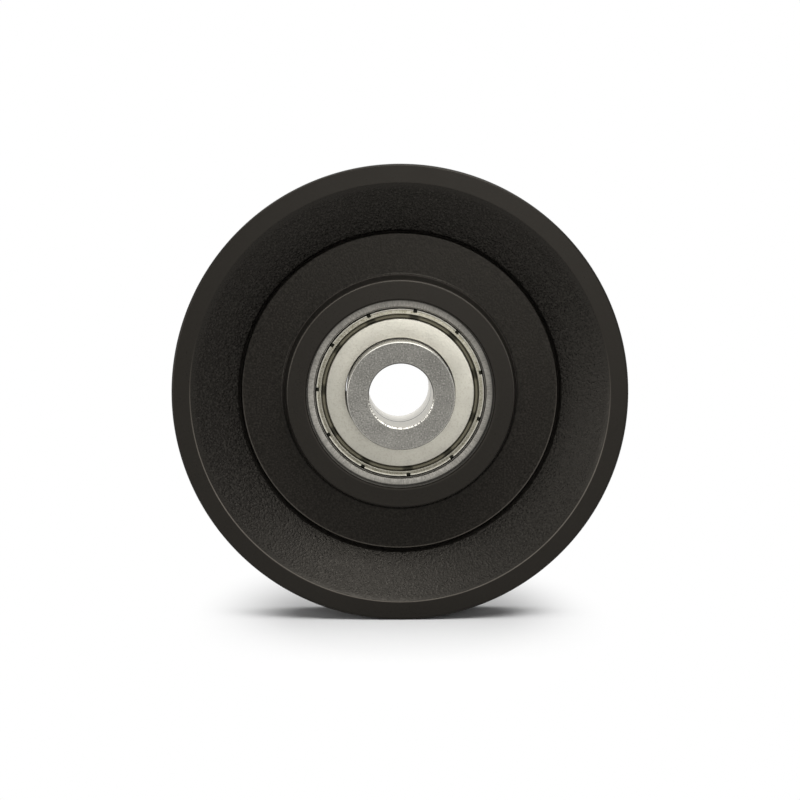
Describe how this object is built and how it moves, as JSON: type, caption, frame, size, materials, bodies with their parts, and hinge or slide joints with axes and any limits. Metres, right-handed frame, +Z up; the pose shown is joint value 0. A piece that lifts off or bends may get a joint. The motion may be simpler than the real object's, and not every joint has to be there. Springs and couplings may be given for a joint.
{
  "type": "rope pulley",
  "caption": "Black moulded pulley wheel with a deep vee rope groove, turning on a shielded ball bearing carried by flanged steel bushes with an axle bore.",
  "frame": {"origin": "middle of the axle bore, which is the centre of the whole part", "axes": "+Y along the wheel's axis; the face in the picture looks towards -Y; +Z up as the wheel hangs or stands"},
  "size_m": [0.075, 0.024, 0.075],
  "materials": {
    "black_nylon": "fine eroded grain",
    "ground_steel": "ground",
    "polished_steel": "polished",
    "pressed_steel": "pressed sheet",
    "shield_sheet": "zinc satin",
    "blasted_steel": "fine blasted"
  },
  "bodies": {
    "axle_side": {"bearing_inner_ring": "ground_steel", "bush_front": "blasted_steel", "bush_rear": "blasted_steel"},
    "wheel": {"pulley_wheel": "black_nylon", "bearing_outer_ring": "ground_steel", "shield_front": "shield_sheet", "shield_rear": "shield_sheet"},
    "cage": {"cage_front": "pressed_steel", "cage_rear": "pressed_steel", "cage_rivet_1": "pressed_steel", "cage_rivet_2": "pressed_steel", "cage_rivet_3": "pressed_steel", "cage_rivet_4": "pressed_steel", "cage_rivet_5": "pressed_steel", "cage_rivet_6": "pressed_steel", "cage_rivet_7": "pressed_steel"},
    "spinning_ball_1": {"ball_1": "polished_steel"},
    "spinning_ball_2": {"ball_2": "polished_steel"},
    "spinning_ball_3": {"ball_3": "polished_steel"},
    "spinning_ball_4": {"ball_4": "polished_steel"},
    "spinning_ball_5": {"ball_5": "polished_steel"},
    "spinning_ball_6": {"ball_6": "polished_steel"},
    "spinning_ball_7": {"ball_7": "polished_steel"}
  },
  "joints": [
    {"name": "wheel_spin", "type": "hinge", "parent": "axle_side", "child": "wheel", "pos_m": [0, 0, 0], "axis": [0, 1, 0], "continuous": true},
    {"name": "cage_spin", "type": "hinge", "parent": "axle_side", "child": "cage", "pos_m": [0, 0, 0], "axis": [0, 1, 0], "continuous": true},
    {"name": "ball_1_spin", "type": "hinge", "parent": "cage", "child": "spinning_ball_1", "pos_m": [0, 0, 0.011], "axis": [0, 1, 0], "continuous": true},
    {"name": "ball_2_spin", "type": "hinge", "parent": "cage", "child": "spinning_ball_2", "pos_m": [0.0086, 0, 0.00686], "axis": [0, 1, 0], "continuous": true},
    {"name": "ball_3_spin", "type": "hinge", "parent": "cage", "child": "spinning_ball_3", "pos_m": [0.01072, 0, -0.00245], "axis": [0, 1, 0], "continuous": true},
    {"name": "ball_4_spin", "type": "hinge", "parent": "cage", "child": "spinning_ball_4", "pos_m": [0.00477, 0, -0.00991], "axis": [0, 1, 0], "continuous": true},
    {"name": "ball_5_spin", "type": "hinge", "parent": "cage", "child": "spinning_ball_5", "pos_m": [-0.00477, 0, -0.00991], "axis": [0, 1, 0], "continuous": true},
    {"name": "ball_6_spin", "type": "hinge", "parent": "cage", "child": "spinning_ball_6", "pos_m": [-0.01072, 0, -0.00245], "axis": [0, 1, 0], "continuous": true},
    {"name": "ball_7_spin", "type": "hinge", "parent": "cage", "child": "spinning_ball_7", "pos_m": [-0.0086, 0, 0.00686], "axis": [0, 1, 0], "continuous": true}
  ],
  "couplings": [
    {"joint": "cage_spin", "follows": "wheel_spin", "ratio": 0.6353},
    {"joint": "ball_1_spin", "follows": "wheel_spin", "ratio": 1.7125},
    {"joint": "ball_2_spin", "follows": "wheel_spin", "ratio": 1.7125},
    {"joint": "ball_3_spin", "follows": "wheel_spin", "ratio": 1.7125},
    {"joint": "ball_4_spin", "follows": "wheel_spin", "ratio": 1.7125},
    {"joint": "ball_5_spin", "follows": "wheel_spin", "ratio": 1.7125},
    {"joint": "ball_6_spin", "follows": "wheel_spin", "ratio": 1.7125},
    {"joint": "ball_7_spin", "follows": "wheel_spin", "ratio": 1.7125}
  ]
}
